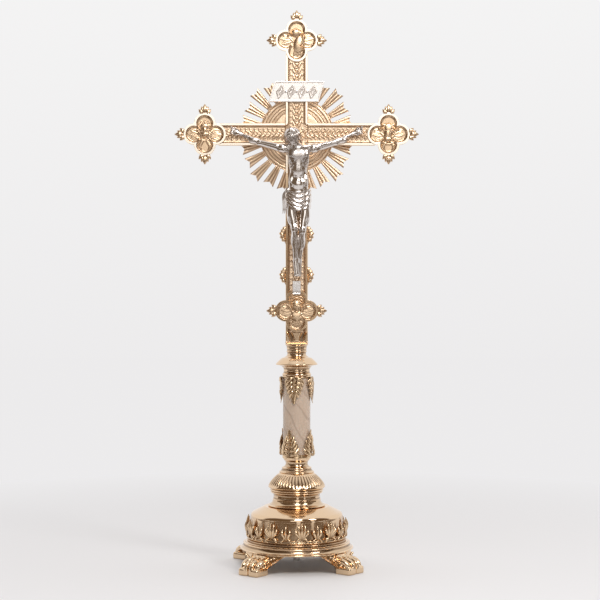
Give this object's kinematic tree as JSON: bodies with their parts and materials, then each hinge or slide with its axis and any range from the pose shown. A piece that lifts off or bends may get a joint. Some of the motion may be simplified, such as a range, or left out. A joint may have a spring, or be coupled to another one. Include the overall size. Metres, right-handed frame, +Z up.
{
  "type": "altar cross",
  "caption": "Standing altar cross in gilt brass: paw-footed drum base, turned knop and stone column, and a lift-out cross with sunburst, medallions and a silvered figure.",
  "frame": {"origin": "on the surface that the paws stand on, under the axis of the stem", "axes": "+Z up along the stem, -Y towards the front, where the figure faces, +X to the right seen from the front"},
  "size_m": [0.2788, 0.1492, 0.6369],
  "materials": {
    "gilt_polished": "polished",
    "gilt_chased": "satin",
    "silver_plate": "polished",
    "onyx": "satin",
    "steel": "satin"
  },
  "bodies": {
    "stand": {"claw_foot_base": "gilt_polished", "base_drum": "gilt_polished", "leaf_gallery": "gilt_chased", "lower_spool": "gilt_polished", "gadrooned_knop": "gilt_polished", "lower_collar": "gilt_polished", "lower_leaf_cup": "gilt_chased", "onyx_column": "onyx", "upper_leaf_cup": "gilt_chased", "capital_ring": "gilt_polished", "disc_knop": "gilt_polished", "neck_spool": "gilt_polished", "tie_rod": "steel", "bridge_plate": "steel", "tie_rod_washer": "steel", "tie_rod_nut": "steel"},
    "cross": {"corpus_body": "silver_plate", "corpus_left_arm": "silver_plate", "corpus_nails": "silver_plate", "corpus_right_arm": "silver_plate", "corpus_screws": "steel", "crocket_lower_left": "gilt_chased", "crocket_lower_right": "gilt_chased", "crocket_upper_left": "gilt_chased", "crocket_upper_right": "gilt_chased", "cross_frame": "gilt_chased", "cross_tang": "steel", "finial_bottom_left": "gilt_chased", "finial_bottom_right": "gilt_chased", "finial_left_down": "gilt_chased", "finial_left_left": "gilt_chased", "finial_left_up": "gilt_chased", "finial_right_down": "gilt_chased", "finial_right_right": "gilt_chased", "finial_right_up": "gilt_chased", "finial_top_left": "gilt_chased", "finial_top_right": "gilt_chased", "finial_top_up": "gilt_chased", "foot_rest": "silver_plate", "medallion_bottom": "gilt_chased", "medallion_left": "gilt_chased", "medallion_right": "gilt_chased", "medallion_screws": "steel", "medallion_top": "gilt_chased", "sunburst": "gilt_chased", "sunburst_screws": "steel", "titulus": "silver_plate", "titulus_screws": "steel"}
  },
  "joints": [
    {"name": "cross_lift", "type": "slide", "parent": "stand", "child": "cross", "axis": [0, 0, 1], "range_m": [0, 0.045]}
  ]
}
